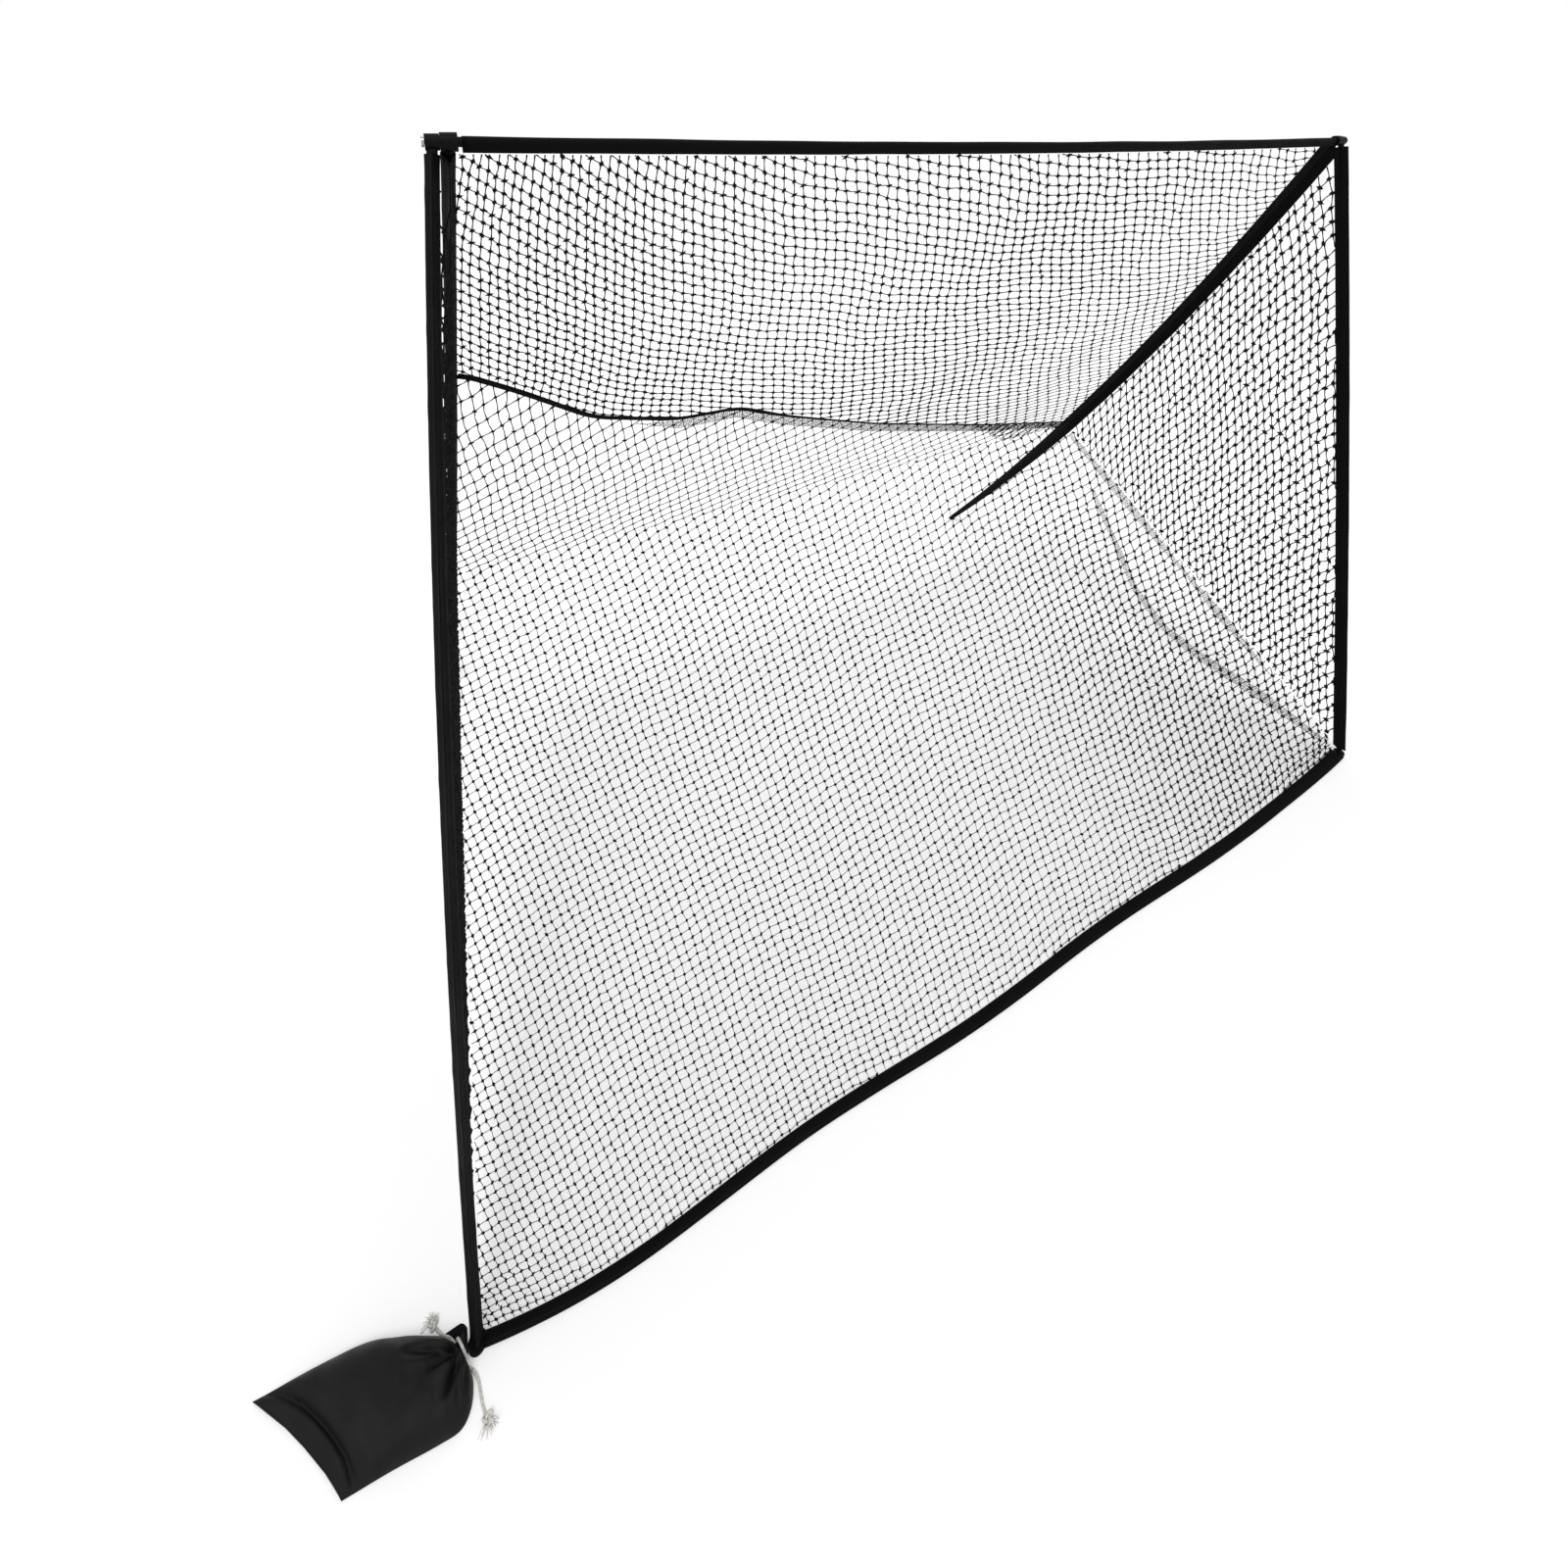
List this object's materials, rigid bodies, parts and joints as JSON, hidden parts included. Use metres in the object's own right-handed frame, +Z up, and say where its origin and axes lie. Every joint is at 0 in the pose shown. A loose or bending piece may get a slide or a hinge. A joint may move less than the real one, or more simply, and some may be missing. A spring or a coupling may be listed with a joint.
{
  "type": "golf chipping net",
  "caption": "Free-standing golf chipping net: sectional pole frame with fabric sleeves, back, lower and side nets and a drawstring pouch at one foot.",
  "frame": {"origin": "on the ground, under the middle of the front ground hem", "axes": "+X to the right along the front edge seen from the front, +Y from the front to the back, +Z up"},
  "size_m": [3.215, 2.018, 2.145],
  "materials": {
    "fibreglass": "smooth, glossy",
    "ferrule": "satin",
    "elastic": "woven cover, matte",
    "sleeve_fabric": "dense black polyester, faint sheen",
    "rubber": "matte",
    "pin_steel": "brushed",
    "moulding": "matte",
    "netting": "knotted black nylon mesh, open",
    "tab_fabric": "dense woven",
    "pouch_satin": "smooth satin",
    "white_cord": "twisted cord, matte"
  },
  "bodies": {
    "rear_frame": {"corner_fitting_left": "moulding", "corner_fitting_right": "moulding", "pivot_pin_left": "pin_steel", "pivot_pin_right": "pin_steel", "top_pole_1": "fibreglass", "top_pole_2": "fibreglass", "top_pole_3": "fibreglass", "top_pole_4": "fibreglass", "top_ferrules": "ferrule", "top_elastic": "elastic", "top_sleeve": "sleeve_fabric", "strut_left_pole_1": "fibreglass", "strut_left_pole_2": "fibreglass", "strut_left_pole_3": "fibreglass", "strut_left_pole_4": "fibreglass", "strut_left_ferrules": "ferrule", "strut_left_elastic": "elastic", "strut_left_sleeve": "sleeve_fabric", "rear_foot_left": "rubber", "strut_right_pole_1": "fibreglass", "strut_right_pole_2": "fibreglass", "strut_right_pole_3": "fibreglass", "strut_right_pole_4": "fibreglass", "strut_right_ferrules": "ferrule", "strut_right_elastic": "elastic", "strut_right_sleeve": "sleeve_fabric", "rear_foot_right": "rubber", "net_back": "netting", "pocket_seam": "sleeve_fabric"},
    "leg_left": {"leg_socket_left": "moulding", "leg_left_pole_1": "fibreglass", "leg_left_pole_2": "fibreglass", "leg_left_pole_3": "fibreglass", "leg_left_ferrules": "ferrule", "leg_left_elastic": "elastic", "leg_left_sleeve": "sleeve_fabric", "front_foot_left": "rubber", "net_side_left": "netting", "ground_hem": "sleeve_fabric", "corner_tab": "tab_fabric", "net_lower": "netting"},
    "leg_right": {"leg_socket_right": "moulding", "leg_right_pole_1": "fibreglass", "leg_right_pole_2": "fibreglass", "leg_right_pole_3": "fibreglass", "leg_right_ferrules": "ferrule", "leg_right_elastic": "elastic", "leg_right_sleeve": "sleeve_fabric", "front_foot_right": "rubber", "net_side_right": "netting"},
    "pouch_bag": {"pouch": "pouch_satin", "drawstring": "white_cord"}
  },
  "joints": [
    {"name": "leg_left_fold", "type": "hinge", "parent": "rear_frame", "child": "leg_left", "pos_m": [-1.268, 0.298, 2.13], "axis": [1, 0, 0], "range_deg": [0, 40], "deforming": ["net_lower", "net_side_left"]},
    {"name": "leg_right_fold", "type": "hinge", "parent": "rear_frame", "child": "leg_right", "pos_m": [1.268, 0.298, 2.13], "axis": [1, 0, 0], "range_deg": [0, 40], "deforming": ["net_side_right"]},
    {"name": "pouch_swing", "type": "hinge", "parent": "leg_left", "child": "pouch_bag", "pos_m": [-1.462, 0.025, 0.02], "axis": [0, 0, 1], "range_deg": [-25, 35]}
  ],
  "couplings": [
    {"joint": "leg_right_fold", "follows": "leg_left_fold", "ratio": 1}
  ]
}
